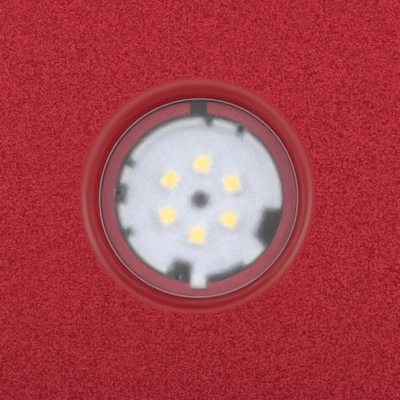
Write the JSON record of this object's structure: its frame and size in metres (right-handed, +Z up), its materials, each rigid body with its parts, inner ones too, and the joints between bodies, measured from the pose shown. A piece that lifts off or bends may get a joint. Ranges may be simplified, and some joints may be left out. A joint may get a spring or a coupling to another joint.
{
  "type": "darkroom safelight",
  "caption": "Square lamp head with a round frosted LED window recessed in its textured front, held by clamp knobs on a tilting stand.",
  "frame": {"origin": "on the supporting surface, under the middle of the whole safelight", "axes": "+X to the right as one looks at the lamp, +Y from the lamp window to the rear cover, +Z up"},
  "size_m": [0.1816, 0.08, 0.154],
  "materials": {
    "shell_red": "fine spark texture, polished dish",
    "cover_black": "fine texture",
    "seal_rubber": "matt",
    "insert_brass": "knurled",
    "screw_black": "black oxide",
    "screw_steel": "zinc plated",
    "lens_frosted": "frosted",
    "foam_black": "closed-cell foam",
    "carrier_white": "satin",
    "board_white": "white solder mask",
    "led_white": "satin",
    "phosphor_yellow": "silicone",
    "spreader_aluminium": "machined",
    "pcb_green": "solder mask",
    "capacitor_sleeve": "sleeved can",
    "ferrite": "ferrite",
    "chip_black": "moulded",
    "terminal_green": "moulded",
    "wire_insulation": "PVC",
    "switch_black": "satin",
    "inlet_nickel": "nickel plated",
    "bracket_paint": "powder coat",
    "knob_black": "fine texture"
  },
  "bodies": {
    "stand": {"bracket": "bracket_paint", "feet": "seal_rubber", "tripod_bush": "insert_brass"},
    "head": {"front_shell": "shell_red", "rear_cover": "cover_black", "housing_seal": "seal_rubber", "case_inserts": "insert_brass", "case_screws": "screw_black", "lens": "lens_frosted", "light_seal": "foam_black", "led_carrier": "carrier_white", "carrier_screws": "screw_steel", "led_board": "board_white", "led_bodies": "led_white", "led_phosphors": "phosphor_yellow", "board_screw": "screw_black", "heat_spreader": "spreader_aluminium", "driver_board": "pcb_green", "driver_screws": "screw_steel", "capacitor": "capacitor_sleeve", "inductor": "ferrite", "driver_chip": "chip_black", "terminal_block": "terminal_green", "led_wires": "wire_insulation", "inlet_wires": "wire_insulation", "switch_wires": "wire_insulation", "switch_frame": "switch_black", "dc_inlet": "inlet_nickel", "inlet_pin": "insert_brass", "inlet_nut": "screw_steel", "left_friction_washer": "seal_rubber", "left_pivot_insert": "insert_brass", "right_friction_washer": "seal_rubber", "right_pivot_insert": "insert_brass"},
    "left_knob": {"left_clamp_knob": "knob_black", "left_pivot_bolt": "screw_steel", "left_pivot_washer": "screw_steel"},
    "right_knob": {"right_clamp_knob": "knob_black", "right_pivot_bolt": "screw_steel", "right_pivot_washer": "screw_steel"},
    "rocker": {"switch_rocker": "switch_black"}
  },
  "joints": [
    {"name": "head_tilt", "type": "hinge", "parent": "stand", "child": "head", "pos_m": [0, 0, 0.084], "axis": [1, 0, 0], "range_deg": [-90, 90]},
    {"name": "left_knob_turn", "type": "hinge", "parent": "head", "child": "left_knob", "pos_m": [-0.08, 0, 0.084], "axis": [-1, 0, 0], "range_deg": [0, 360]},
    {"name": "right_knob_turn", "type": "hinge", "parent": "head", "child": "right_knob", "pos_m": [0.08, 0, 0.084], "axis": [1, 0, 0], "range_deg": [0, 360]},
    {"name": "switch_rock", "type": "hinge", "parent": "head", "child": "rocker", "pos_m": [0.028, 0.0215, 0.048], "axis": [1, 0, 0], "range_deg": [0, 16]}
  ]
}
